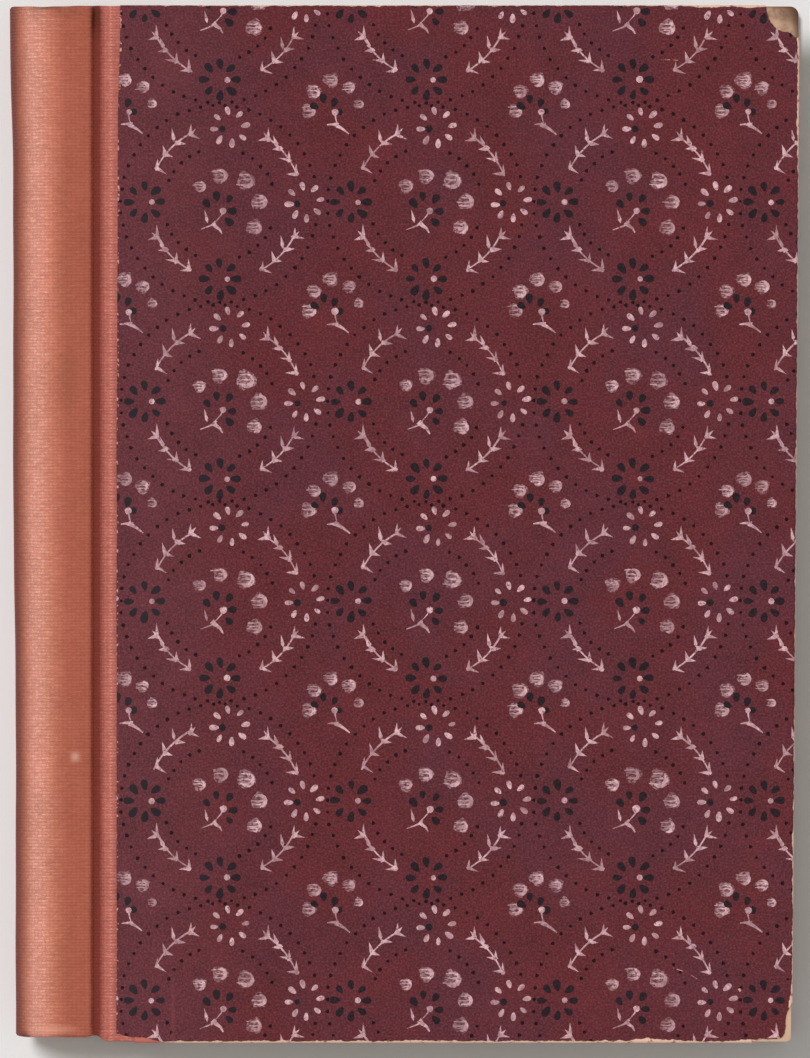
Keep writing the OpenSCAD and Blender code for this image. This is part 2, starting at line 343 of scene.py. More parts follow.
def spray():
    """Blossoms, dark buds, stems with a ball, and one loose leaf."""
    shapes = []
    for i, (x, y, r) in enumerate(BLOSSOMS):
        shapes += blossom(x, y, r, i)
    shapes += [(INK, petal(x, y, 1.75, 1.25, np.radians(heading))) for x, y, heading in BUDS]
    shapes += [(PALE, stroke(points, width, 0.25)) for points, width in zip(STEMS, STEM_WIDTHS)]
    shapes += [(PALE, spot(x, y, 0.62, 9, 0.06)) for x, y in STEM_BALLS]
    return shapes + [(PALE, leaf(-2.45, -3.35, 2.2, 0.6, np.radians(103)))]


DOT_R, DOT_COUNT = 0.36, 51
RING_R, ARC_R, DAISY_ROOM = 18.05, 10.3, 3.9


def dots():
    """Small dark dots: a full ring outside the sprigs and four short arcs inside them, clear of the
    daisies of this repeat and of its four neighbours."""
    outer = np.radians(np.arange(DOT_COUNT) * 360 / DOT_COUNT + 2)
    inner = np.radians(np.concatenate([quarter + 11 * (np.arange(5) - 2) for quarter in (43, 133, 223, 313)]))
    at = np.concatenate([RING_R * round_way(outer) + [-0.2, -0.15], ARC_R * round_way(inner) + [-0.2, -0.2]])
    flowers = np.array([flower[:2] for flower in DAISIES])
    flowers = np.concatenate([flowers + REPEAT * way for way in ([0, 0], [1, 0], [-1, 0], [0, 1], [0, -1])])
    clear = np.linalg.norm(at[:, None] - flowers, axis=2).min(1) > DAISY_ROOM
    return [(DOT, spot(x, y, DOT_R, 6, 0.15, i)) for i, (x, y) in enumerate(at[clear])]


repeat_shapes = dots() + [shape for flower in DAISIES for shape in daisy(*flower)]
repeat_shapes += [shape for sprig_way in SPRIGS for shape in sprig(*sprig_way)] + spray()
print("outlines in one repeat:", len(repeat_shapes))

# %% [markdown]
# ## The sheet of paper
#
# A flat sheet is cut out first, with its corners mitred as a binder cuts them. The folds, the motifs
# and the torn corner are drawn on it as outlines, and one constrained triangulation turns all of them
# into a mesh whose edges follow every outline. Only then is the sheet folded round its board.

# %% The outline and fold lines of the flat sheet
TURN_IN = 14.0
HEAD_CORNER, TAIL_CORNER = 1.8, 1.2
FORE_TAPER = 1.4
CORNER_STEPS = 8
MITRE_GAP = 0.1
PAPER_MORE = 0.5
RUNS_IN = [(0.2, 10, 50), (0.5, 76, 13)]
corner_turns = np.linspace(np.pi / 2, 0, CORNER_STEPS + 1)
quarter_fold = FOLD_R * np.pi / 2
wall_end = wrap_t - 2 * FOLD_R + quarter_fold
sheet_end = wall_end + quarter_fold + TURN_IN - FOLD_R


def fore_edge(v):
    """The board's fore-edge, which runs in a little towards the tail."""
    return fore_x - FORE_TAPER * (half_h - np.clip(v, -half_h, half_h)) / (2 * half_h)


def spine_side(v):
    """The paper's edge on the cloth, which runs in by 0.7 mm in two slants on its way to the head."""
    edge = paper_x - PAPER_MORE
    for much, start, height in RUNS_IN:
        edge = edge + much * np.clip((v - start) / height, 0, 1)
    return edge


def corner_circle(side):
    """The middle and radius of the rounding of a fore corner, at the head or the tail."""
    radius = HEAD_CORNER if side > 0 else TAIL_CORNER
    return np.array([fore_edge(side * half_h) - radius, side * (half_h - radius)]), radius


def corner_arc(side, along, turns):
    """Points round a corner of the sheet, at one distance past the first turn of the fold."""
    centre, radius = corner_circle(side)
    return centre + (along - FOLD_R + radius) * (round_way(turns) * [1, side])


def contour(along):
    """A line at one distance past the first turn: head, corner, fore-edge, corner and tail."""
    level = half_h - FOLD_R + along
    return np.concatenate([[[spine_side(half_h), level]], corner_arc(1, along, corner_turns),
                           corner_arc(-1, along, corner_turns[::-1]), [[spine_side(-half_h), -level]]])


def sheet_outline():
    """The sheet's edge: two flaps and the fore-edge flap, mitred so that they meet under the corners."""
    points = []
    for side in (1, -1):
        centre, radius = corner_circle(side)
        back = TURN_IN - radius + MITRE_GAP
        reach = sheet_end - FOLD_R + radius
        inner = wall_end + quarter_fold + radius - FOLD_R - MITRE_GAP
        before, after = [centre + [-back, side * reach], centre + [reach, -side * back]][::side]
        points += [before, *corner_arc(side, inner, corner_turns[::side]), after]
    level = half_h - FOLD_R + sheet_end
    border = np.linspace(-half_h, half_h, 40)
    jag = 0.05 * np.sin(7.3 * border) * np.sin(1.9 * border)
    points += [[spine_side(-half_h), -level], *np.stack([spine_side(border) + jag, border], -1),
               [spine_side(half_h), level]]
    return np.array(points)


# %% [markdown]
# Folding keeps the sheet's own measure: a point on the face stays where it is, and a point past a fold
# line is carried over the edge. At a corner the direction outwards fans round the corner's middle.


# %% Fold the sheet
def folded(sheet, inset):
    """Place and outward normal of points of the flat sheet, at a depth inset below its outer face.

    Past the middle of a corner the way outwards is radial, and elsewhere it is straight across the
    nearer edge. The distance along it goes through over_edge, and x and y move by the difference.
    """
    u, v = sheet.T
    side = np.sign(v)
    radius = np.where(v > 0, HEAD_CORNER, TAIL_CORNER)
    past_u = u - fore_edge(v) + radius
    past_v = np.abs(v) - half_h + radius
    corner = (past_u > 0) & (past_v > 0)
    reach = np.where(corner, np.hypot(past_u, past_v), np.maximum(past_u, past_v))
    out_u = np.where(corner, past_u / np.where(corner, reach, 1), past_u >= past_v)
    out_v = np.where(corner, past_v / np.where(corner, reach, 1), past_u < past_v)
    out, depth, turned = over_edge(reach - radius + FOLD_R, FOLD_R, wrap_t, inset)
    moved = out - FOLD_R + radius - reach
    place = np.stack([u + moved * out_u, v + side * moved * out_v, book_t - depth], -1)
    normal = np.stack([np.sin(turned) * out_u, np.sin(turned) * out_v * side, np.cos(turned)], -1)
    return place, normal


# %% Lay the motifs out over the sheet
PRINT_REACH = 7.5
SLIP, SIZE_SLIP, TEAR_JITTER = 0.05, 0.07, 0.06
torn_end = wall_end + quarter_fold + 0.8
HEAD_TEAR = np.array([(6.2, 0.3), (6.0, 1.3), (5.8, 2.3), (5.3, 3.2), (4.6, 4.0), (4.0, 4.5), (3.3, 4.75),
                      (2.7, 4.9), (2.0, 4.95), (1.5, 5.3), (0.95, 5.85), (0.4, 5.95)])
TAIL_TEAR = np.array([(7.0, 0.1), (6.8, 0.3), (6.4, 0.6), (5.2, 0.75), (3.8, 0.7), (2.6, 0.78), (1.9, 1.05),
                      (1.5, 1.6), (1.35, 2.5), (1.25, 3.8), (1.15, 5.2), (0.9, 5.8), (0.5, 6.4), (0.2, 7.3)])
CLOTH_CORNER = np.array([(-1.3, 1.75), (0.0, 1.7), (0.3, 1.5), (0.9, 1.35), (2.0, 1.15), (2.8, 1.05)])


def laid_out(shift, mirrored, seed):
    """Every motif that falls on the face or just round its edges, each a hair out of place as in a print."""
    chance = np.random.default_rng(seed)
    shapes = []
    for column in range(-4, 4):
        for row in range(-5, 5):
            for colour, outline in repeat_shapes:
                slip = chance.normal(0, SLIP, 2)
                size = chance.normal(1, SIZE_SLIP)
                middle = outline.mean(0)
                placed = middle + (outline - middle) * size + FIRST_RING + shift + slip
                placed = placed + REPEAT * [column, row]
                if mirrored:
                    placed = placed * [-1, 1]
                u, v = placed.mean(0)
                if paper_x - 1 < u < fore_x + PRINT_REACH and abs(v) < half_h + PRINT_REACH:
                    shapes.append((colour, placed))
    return shapes


def torn_patch(side, seed):
    """The paper lost at a fore corner, from the tear on the face to just under the board's edge."""
    chance = np.random.default_rng(seed)
    listed = HEAD_TEAR if side > 0 else TAIL_TEAR
    share = np.linspace(0, len(listed) - 1, 3 * len(listed))
    tear = np.stack([np.interp(share, np.arange(len(listed)), column) for column in listed.T], -1)
    back, inwards = (tear + chance.uniform(-TEAR_JITTER, TEAR_JITTER, tear.shape)).T
    v = side * (half_h - inwards)
    tear = np.stack([fore_edge(v) - back, v], -1)
    past = torn_end - FOLD_R
    turns = np.linspace(0, np.pi / 2, CORNER_STEPS + 1)
    return np.concatenate([[[tear[0, 0], side * (half_h + past)]], tear, [[fore_edge(v[-1]) + past, v[-1]]],
                           corner_arc(side, torn_end, turns)])


def cloth_corner():
    """The paper rubbed away at the tail beside the cloth, where the cloth shows again under it."""
    face = np.stack([paper_x + CLOTH_CORNER[:, 0], CLOTH_CORNER[:, 1] - half_h], -1)
    level = -(half_h - FOLD_R + torn_end)
    return np.concatenate([[[face[0, 0], level]], face, [[face[-1, 0], level]]])


CHIP_WIDTH, CHIP_CHANGE = 0.28, 0.14
BACK_SHIFT = [11.0, 7.0]


def border_strip():
    """A narrow strip along the paper's edge on the cloth, where its colour has chipped off. Its width is
    a mean plus the product of two slow waves."""
    v = np.linspace(-half_h - 2, half_h + 2, 60)
    width = CHIP_WIDTH + CHIP_CHANGE * np.sin(1.3 * v) * np.sin(0.37 * v + 1)
    outer = np.stack([spine_side(v) - 1, v], -1)
    inner = np.stack([spine_side(v) + width, v], -1)
    return np.concatenate([outer, inner[::-1]])


# %% Triangulate, fold and thicken a sheet
PAPER_T = 0.25


def anticlockwise(outline):
    """The outline in the order that the triangulation wants, told by the sign of its area."""
    x, y = outline.T
    area = np.sum(x * np.roll(y, -1) - np.roll(x, -1) * y)
    return outline if area > 0 else outline[::-1]


def rim_of(faces):
    """The edges that only one triangle has, in that triangle's own direction."""
    way = np.concatenate([faces[:, [0, 1]], faces[:, [1, 2]], faces[:, [2, 0]]])
    _, number, times = np.unique(np.sort(way, axis=1), axis=0, return_inverse=True, return_counts=True)
    return way[times[number.ravel()] == 1]


def cut_sheet(shapes):
    """Points, triangles and ink codes of the flat sheet. Every outline and fold line becomes edges, each
    triangle has the colour of the topmost outline it lies in, and holes are left out."""
    marks = [(GROUND, sheet_outline()), (BARE, border_strip()), *shapes]
    marks = [(colour, anticlockwise(outline)) for colour, outline in marks]
    folds = [contour(start + third * quarter_fold / 3) for start in (0, wall_end) for third in range(4)]
    corners = np.concatenate([shape for _, shape in marks] + folds)
    counts = [len(shape) for _, shape in marks]
    starts = np.concatenate([[0], np.cumsum(counts)])
    rings = [list(range(a, a + n)) for a, n in zip(starts, counts)]
    lines = []
    first = starts[-1]
    for line in folds:
        lines += [(first + i, first + i + 1) for i in range(len(line) - 1)]
        first += len(line)
    flat, _, faces, _, _, origins = delaunay_2d_cdt(
        [Vector(corner) for corner in corners], lines, rings, 1, 1e-4, True)
    colours = np.array([colour for colour, _ in marks])
    kept, ink = [], []
    for face, inside in zip(faces, origins):
        top = max(inside, default=-1)
        if 0 in inside and colours[top] != HOLE:
            kept.append(face)
            ink.append(colours[top])
    flat, kept, ink = np.array(flat), np.array(kept), np.array(ink, float)
    used, kept = np.unique(kept, return_inverse=True)
    return flat[used], kept.reshape(-1, 3), ink


def cover_paper(name, shapes, over):
    """A covering sheet: the flat mesh is folded, and the same mesh is laid a paper's thickness inside it
    and joined to it all round. For the back cover it is turned over."""
    flat, kept, ink = cut_sheet(shapes)
    outer, normal = folded(flat, 0)
    inner, _ = folded(flat, PAPER_T)
    count = len(flat)
    rim = rim_of(kept)
    rim_faces = np.stack([rim[:, 1], rim[:, 0], rim[:, 0] + count, rim[:, 1] + count], -1)
    points, normals = np.concatenate([outer, inner]), np.concatenate([normal, -normal])
    solid = [*kept.tolist(), *(kept[:, ::-1] + count).tolist(), *rim_faces.tolist()]
    if over:
        points = turned_over(points)
        normals = normals * [1, 1, -1]
        solid = [face[::-1] for face in solid]
    piece = add_mesh(name, points, solid, normals)
    add_flat_maps(piece, "sheet", flat)
    tone = piece.data.attributes.new("ink", "FLOAT", "FACE")
    tone.data.foreach_set("value", np.concatenate([ink, np.zeros(len(kept)), np.zeros(len(rim))]))
    print(name, "triangles:", 2 * len(kept) + 2 * len(rim))
    return piece


scratches = [(BARE, stroke([(48.65, -81.3), (51.0, -82.0), (53.05, -83.3)], 0.16)),
             (BARE, stroke([(46.3, 84.9), (48.0, 85.0), (49.6, 84.9)], 0.16)),
             (BARE, spot(28.9, 3.1, 0.25)), (BARE, spot(60.9, -85.3, 0.32, 7, 0.2))]
lost = [(HOLE, torn_patch(1, 6)), (HOLE, torn_patch(-1, 7)), (HOLE, cloth_corner())]
front_paper = cover_paper("front_printed_paper", laid_out([0, 0], False, 3) + scratches + lost, False)
back_paper = cover_paper("back_printed_paper", laid_out(BACK_SHIFT, True, 4), True)
for paper, side in ((front_paper, "front"), (back_paper, "back")):
    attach(paper, side + "_cover")
    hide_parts(side + "_cover_paper")

# %% [markdown]
# ## The cloth
#
# One piece of cloth runs from board to board: over each board's edge, down into the pressed groove,
# and round the spine. Its ends are rolled over the card inlay and turned in. A cover's hinge is in the
# groove, so the cloth is made as two halves that meet down the middle of the spine. Cloth simulation
# would not help here, because the cloth is glued down, so the shape is a formula: a section across,
# carried along the book.

# %% The section across the cloth
GROOVE_DEPTH, GROOVE_RIM, GROOVE_FLOOR = 2.0, 1.9, 0.25
SPINE_WALL = 1.15
HEAD_REACH = 0.25
SPINE_ROUND, SQUARENESS = 8.0, 2.3
CLOTH_T = 0.35
CLOTH_STEP, FINE_STEP, BACK_STEPS = 0.3, 0.02, 700
UNDER_PAPER = 0.03
HEAD_SINK, SINK_REACH = 0.4, 5
RELIEF = [(0.05, 0.9, 0.8), (-0.16, 2.9, 1.2)]
half_spine = cloth_z - mid_z
round_x = spine_x + SPINE_ROUND
rim_x = hinge_x - GROOVE_RIM


def rise(share):
    """A smooth step: 0 up to share 0, half a cosine wave, 1 from share 1."""
    return (1 - np.cos(np.pi * np.clip(share, 0, 1))) / 2


def hump(x, middle, width):
    """A bell-shaped hump."""
    return np.exp(-((x - middle) / width) ** 2)


def cloth_section():
    """The cloth's outer face from under the paper to the middle of the spine, and the way outwards there.

    Over the board it is level. The groove is a cosine dip, steeper on the side of the spine, and beside
    it lie a low ridge and a shallow hollow, each a bell with its height, distance and width in RELIEF.
    The back is a quarter of a superellipse. The way outwards is straight up until the back begins, and
    from there it is the superellipse's own normal.
    """
    flat = np.arange(lap_x, round_x, -FINE_STEP)
    half_width = np.where(flat < hinge_x, SPINE_WALL, GROOVE_RIM)
    groove = GROOVE_DEPTH * (1 - rise((np.abs(flat - hinge_x) - GROOVE_FLOOR) / (half_width - GROOVE_FLOOR)))
    relief = rise(rim_x - flat) * sum(high * hump(flat, rim_x - away, wide) for high, away, wide in RELIEF)
    under_paper = UNDER_PAPER * rise((flat - paper_x + 0.6) / 0.4)
    level = cloth_z - groove + relief - under_paper
    turn = np.radians(np.linspace(90, 0, BACK_STEPS))
    back_x = round_x - SPINE_ROUND * np.cos(turn) ** (2 / SQUARENESS)
    back_z = mid_z + half_spine * np.sin(turn) ** (2 / SQUARENESS)
    way_x = -((round_x - back_x) / SPINE_ROUND) ** (SQUARENESS - 1) / SPINE_ROUND
    way_z = ((back_z - mid_z) / half_spine) ** (SQUARENESS - 1) / half_spine
    section = np.concatenate([np.stack([flat, level, 0 * flat, 0 * flat + 1], -1),
                              np.stack([back_x, back_z, way_x, way_z], -1)])
    length = np.concatenate([[0], np.cumsum(np.hypot(*np.diff(section[:, :2], axis=0).T))])
    steps = np.linspace(0, length[-1], int(length[-1] / CLOTH_STEP))
    x, z, out_x, out_z = (np.interp(steps, length, column) for column in section.T)
    size = np.hypot(out_x, out_z)
    return steps, x, z, out_x / size, out_z / size


print("the cloth's section is", round(cloth_section()[0][-1], 1), "mm long")

# %% [markdown]
# The ends of the cloth are another covered edge. Its wall is deep where the cloth goes over a board,
# less over the inlay, and thin in the groove, where two layers of cloth lie face to face.

# %% The halves of the cloth
CLOTH_TURN_IN = 14.0
ROLL_ROWS = np.array([0, 0.25, 0.5, 0.75, 1, 1.5, 2, 2.25, 2.5, 2.75, 3, 3.1, 3.5, 4])
FACE_ROWS = 72
SPINE_ROLL, GROOVE_ROLL, BOARD_ROLL = 1.65, 0.9, 2.4
ROLL_R, ROLL_R_LESS = 0.6, 0.15
HEAD_MORE, TAIL_DRAWN = 0.1, 0.3
HEAD_DIP, HEAD_DIP_X, HEAD_DIP_WIDTH = 0.25, -65.5, 4
END_WAVE, WORN_WAVE = 0.06, 0.05
LEANS = [(0.46, -34, 40), (0.64, 62, 30)]


def cloth_points(section, inset):
    """Points of the cloth's grid at a depth inset below its outer face, and their measure along it.

    Rows run from tail to head, and the section across. Both ends go through over_edge with the wall and
    radius of their place. The spine leans outwards in two smooth steps, each with its size, start and
    height in LEANS, and slow sine waves stand for wear.
    """
    _, x, z, out_x, out_z = section
    on_board = rise((x - hinge_x) / (board_x - hinge_x))
    in_groove = 1 - rise((np.abs(x - hinge_x) - GROOVE_FLOOR) / GROOVE_RIM)
    wall = SPINE_ROLL + (BOARD_ROLL - SPINE_ROLL) * on_board
    wall = wall + (GROOVE_ROLL - wall) * in_groove
    radius = np.minimum(ROLL_R - ROLL_R_LESS * on_board, wall / 2 - 0.02)
    wave = END_WAVE * np.sin(1.1 * x) * np.sin(0.43 * x + 1)
    spine_end = spine_head_y + HEAD_REACH - HEAD_DIP * hump(x, HEAD_DIP_X, HEAD_DIP_WIDTH)
    head_y = spine_end + (joint_half + HEAD_MORE - spine_end) * on_board + wave
    tail_y = spine_tail_y + (-joint_half - spine_tail_y) * on_board + TAIL_DRAWN * in_groove + wave
    quarter = radius * np.pi / 2
    straight = wall - 2 * radius
    q = ROLL_ROWS[:, None]
    along = quarter * np.clip(q, 0, 1) + straight * np.clip(q - 1, 0, 1) + quarter * np.clip(q - 2, 0, 1)
    along = along + (CLOTH_TURN_IN - radius) * np.clip(q - 3, 0, 1)
    out, depth, _ = over_edge(along, radius, wall, inset)
    head, tail = head_y - radius, tail_y + radius
    share = np.linspace(0, 1, FACE_ROWS + 1)[1:-1, None]
    y = np.concatenate([tail - out[::-1], tail + (head - tail) * share, head + out])
    depth = np.concatenate([depth[::-1], np.full((FACE_ROWS - 1, len(x)), inset), depth])
    sunk = HEAD_SINK * in_groove * np.exp(-np.maximum(head_y - y, 0) / SINK_REACH)
    worn = WORN_WAVE * np.sin(0.21 * y + 0.5 * x) * np.sin(0.07 * y + 1.3) * rise((rim_x - x) / 3)
    lean = -sum(size * rise((y - start) / height) for size, start, height in LEANS)
    lean = lean * np.clip((rim_x - x) / (rim_x - spine_x), 0, 1)
    drop = depth + sunk + worn
    measure = np.concatenate([tail - along[::-1], tail + (head - tail) * share, head + along])
    return np.stack([x + lean - drop * out_x, y, z - drop * out_z], -1), measure


def closed_sheet(name, outer, inner, over):
    """A thin closed shell from the grids of its two faces. Turned over, it becomes the back cover's."""
    rows, columns = outer.shape[:2]
    count = rows * columns
    sheet = grid_faces(rows, columns)
    rim = rim_quads(grid_rim(rows, columns), count)
    faces = np.concatenate([sheet, sheet[:, ::-1] + count, rim])
    points = np.concatenate([outer.reshape(-1, 3), inner.reshape(-1, 3)])
    if over:
        points = turned_over(points)
        faces = faces[:, ::-1]
    return add_mesh(name, points, faces)


def half_cloth(name, over):
    """The cloth from one board to the middle of the spine."""
    section = cloth_section()
    outer, measure = cloth_points(section, 0)
    inner, _ = cloth_points(section, CLOTH_T)
    piece = closed_sheet(name, outer, inner, over)
    flat = np.stack([np.broadcast_to(section[0], measure.shape), measure], -1).reshape(-1, 2)
    add_flat_maps(piece, "cloth", flat)
    size = (np.ptp(flat[:, 0]) * MM, np.ptp(flat[:, 1]) * MM)
    print(name, "flat size", [round(side / MM, 1) for side in size], "mm")
    return piece, size


front_cloth, cloth_size = half_cloth("front_spine_cloth", False)
back_cloth, _ = half_cloth("back_spine_cloth", True)
for cloth, side in ((front_cloth, "front"), (back_cloth, "back")):
    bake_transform(cloth)
    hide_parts("spine_cloth", side + "_joint_cloth")

# %% [markdown]
# ## The block of pages
#
# The pages are one solid here, but their edges should read as many leaves. The block is a stack of
# rings, three to a fold of paper: a notch, then the fold's lower and upper edge. The leaves spread a
# little where the back was rounded, so heights are stretched there about the block's middle level.

# %% Stack the leaves
LEAVES = 105
FORE_HOLLOW = 3.2
NOTCH, NOTCH_FROM, NOTCH_TO = 0.07, 0.15, 0.85
BACK_LAYERS = 2.45
UNEVEN = 0.05
block_half = leaf_z - mid_z
shoulder_half = shoulder_z - mid_z


def stacked_leaves():
    """Points of the block: one ring for each level, and round the ring the fore-edge, head, back and tail.

    The fore-edge is a parabola in the height, hollow in the middle. The back is the spine's
    superellipse moved in by the layers glued over it. Each fold of paper is a hair longer or shorter.
    """
    chance = np.random.default_rng(11)
    levels = np.linspace(-block_half, block_half, LEAVES + 1)
    step = levels[1] - levels[0]
    height = np.stack([levels[:-1] + part * step for part in (0, NOTCH_FROM, NOTCH_TO)], -1).ravel()
    height = np.append(height, block_half)
    inside = np.append(np.tile([NOTCH, 0, 0], LEAVES), 0)
    slips = chance.uniform(-UNEVEN, UNEVEN, (LEAVES, 4))
    uneven = np.append(np.repeat(slips, 3, axis=0), np.zeros((1, 4)), axis=0)
    share = height / block_half
    fore = page_fore_x - FORE_HOLLOW * (1 - share ** 2) - inside + uneven[:, 0]
    head = page_half - inside + uneven[:, 1]
    tail = -page_half + inside + uneven[:, 2]
    across = np.clip(np.abs(share) * shoulder_half / (half_spine - BACK_LAYERS), 0, 1)
    back = round_x - (SPINE_ROUND - BACK_LAYERS) * (1 - across ** SQUARENESS) ** (1 / SQUARENESS)
    back = np.where(np.abs(share) > 0.999, rim_x, back)
    ends = np.concatenate([np.linspace(0, 0.85, 10), np.linspace(0.88, 1, 10)])
    along = fore[:, None] + (back - fore)[:, None] * ends
    down = np.linspace(0, 1, 12)[1:-1]
    fore_y = tail[:, None] + (head - tail)[:, None] * down
    back_y = fore_y[:, ::-1]
    x = np.concatenate([np.broadcast_to(fore[:, None], fore_y.shape), along,
                        np.broadcast_to(back[:, None], back_y.shape), along[:, ::-1]], axis=1)
    y = np.concatenate([fore_y, np.broadcast_to(head[:, None], along.shape), back_y,
                        np.broadcast_to(tail[:, None], along.shape)], axis=1)
    spread = 1 + (shoulder_half / block_half - 1) * rise((leaf_x - x) / (leaf_x - rim_x))
    z = mid_z + height[:, None] * spread
    return np.stack([x, y, z], -1), len(ends), len(down)


def block_of_pages():
    """The walls of the stack, and a top and bottom made of strips from the head edge to the tail edge."""
    points, ends, down = stacked_leaves()
    rings, around = points.shape[:2]
    number = numbered(rings, around)
    follow = np.roll(number, -1, axis=1)
    walls = np.stack([number[:-1], follow[:-1], follow[1:], number[1:]], -1).reshape(-1, 4)
    head = np.arange(down, down + ends)
    tail = np.arange(around - 1, around - 1 - ends, -1)
    strips = np.stack([head[:-1], tail[:-1], tail[1:], head[1:]], -1)
    top = (rings - 1) * around
    caps = [*strips.tolist(), *(strips[:, ::-1] + top).tolist()]
    fore_cap = [*range(down), down, around - 1]
    back_cap = [down + ends - 1, *range(down + ends, down + ends + down), around - ends]
    for cap in (fore_cap, back_cap):
        caps += [cap[::-1], [corner + top for corner in cap]]
    return add_mesh("pages", points.reshape(-1, 3), [*walls.tolist(), *caps], smooth=False)


pages = block_of_pages()
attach(pages, "book_block")
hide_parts("text_block")
print("the pages have", len(pages.data.polygons), "faces")

# %% [markdown]
# ## Endpaper folds and bands
#
# Each endpaper is one sheet, half free and half pasted to its board. The two halves are separate
# parts, so a narrow strip joins them in the gap between. It is flat, as in the closed book. The bands at
# head and tail are cords wound with two colours.

# %% Join the halves of each endpaper
FOLD_START, FOLD_END = 0.2, 0.9
FOLD_PAPER_T = 0.08
FOLD_ROWS, FOLD_COLUMNS = 25, 25
fold_z = (pastedown_z + leaf_top_z) / 2


def endpaper_fold(name, over):
    """A flat strip beside the hinge line, in enough columns to bow smoothly when it is bent. At the head
    it sinks as the cloth's groove does, by an exponential of the distance from the end."""
    x = hinge_x + np.linspace(FOLD_START, FOLD_END, FOLD_COLUMNS)
    y = fold_half * np.sin(np.radians(np.linspace(-90, 90, FOLD_ROWS)))
    grid_x, grid_y = np.meshgrid(x[::-1], y)
    sunk = HEAD_SINK * np.exp(-(fold_half - grid_y) / SINK_REACH)
    outer = np.stack([grid_x, grid_y, fold_z + FOLD_PAPER_T / 2 - sunk], -1)
    return closed_sheet(name, outer, outer - [0, 0, FOLD_PAPER_T], over)


folds = []
for side in ("front", "back"):
    fold = endpaper_fold(side + "_endpaper_fold", side == "back")
    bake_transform(fold)
    folds.append(fold)

# %% Wind the head and tail bands
BAND_ANGLE = 52
BAND_DEPTH = 3.2
BAND_TURNS, BAND_STEPS = 34, 240
WINDING_DIP, END_SHARE, FLATTENED = 0.08, 0.02, 0.92
band_low, band_high = box_mm("head_band")


def band_points():
    """A bead along the back of the block: a rounded square section, with a groove between windings,
    drawn in to a point at both ends."""
    turn = np.radians(np.linspace(BAND_ANGLE, -BAND_ANGLE, BAND_STEPS))
    up = np.sign(turn) * np.abs(np.sin(turn)) ** (2 / SQUARENESS)
    x = round_x - SPINE_ROUND * np.cos(turn) ** (2 / SQUARENESS)
    z = mid_z + half_spine * up
    way = np.stack([np.gradient(x), np.gradient(z)], -1)
    way /= np.linalg.norm(way, axis=1)[:, None]
    inward = np.stack([-way[:, 1], way[:, 0]], -1)
    length = np.linspace(0, 1, len(turn))
    around = np.radians(np.arange(0, 360, 24))
    half = (band_high[1] - band_low[1]) / 2
    winding = 1 - WINDING_DIP * np.abs(np.cos(np.pi * BAND_TURNS * length))
    close = np.sqrt(np.clip(np.minimum(length, 1 - length) / END_SHARE, 1e-4, 1))
    radius = (half * winding * close)[:, None]
    square = 1 / (np.abs(np.cos(around)) ** 3 + np.abs(np.sin(around)) ** 3) ** (1 / 3)
    sideways = radius * FLATTENED * square * np.cos(around)
    outwards = radius * square * np.sin(around)
    px = x[:, None] + inward[:, :1] * (BAND_DEPTH + sideways)
    pz = z[:, None] + inward[:, 1:] * (BAND_DEPTH + sideways)
    py = (band_low[1] + half) + outwards
    return np.stack([px, py, pz], -1), length


def wound_band(name, tail):
    """The bead as a closed tube: a grid that joins round, and a lid on each end."""
    points, length = band_points()
    rows, columns = points.shape[:2]
    number = numbered(rows, columns)
    follow = np.roll(number, -1, axis=1)
    walls = np.stack([number[:-1], number[1:], follow[1:], follow[:-1]], -1).reshape(-1, 4).tolist()
    lids = [number[0].tolist(), number[-1, ::-1].tolist()]
    if tail:
        points = points * [1, -1, 1]
        walls = [face[::-1] for face in walls]
        lids = [face[::-1] for face in lids]
    piece = add_mesh(name, points.reshape(-1, 3), walls + lids)
    around = np.tile(np.arange(columns) / columns, rows)
    add_map(piece, "windings", np.stack([np.repeat(length, columns) * BAND_TURNS, around], -1))
    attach(piece, "book_block")
    return piece


bands = []
for end in ("head", "tail"):
    band = wound_band(end + "_band_windings", end == "tail")
    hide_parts(end + "_band")
    bands.append(band)

# %% [markdown]
# ## Materials
#
# Each material is a small network of nodes: noise for what is irregular, waves for what is woven, and
# smooth steps for wear at a known place. The printed sheet and the cloth read their own flat measures
# in millimetres, so their grain and threads follow every fold. The rest read Object coordinates. Sizes
# of noise are in millimetres too, and a colour is three values from 0 to 255, as seen on a screen.


# %% A short way to write materials
def shade(red, green, blue):
    """A colour as it looks on a screen, 0 to 255, turned into the linear values that the nodes take."""
    seen = np.array([red, green, blue]) / 255
    linear = np.where(seen < 0.04045, seen / 12.92, ((seen + 0.055) / 1.055) ** 2.4)
    return (*linear.tolist(), 1.0)


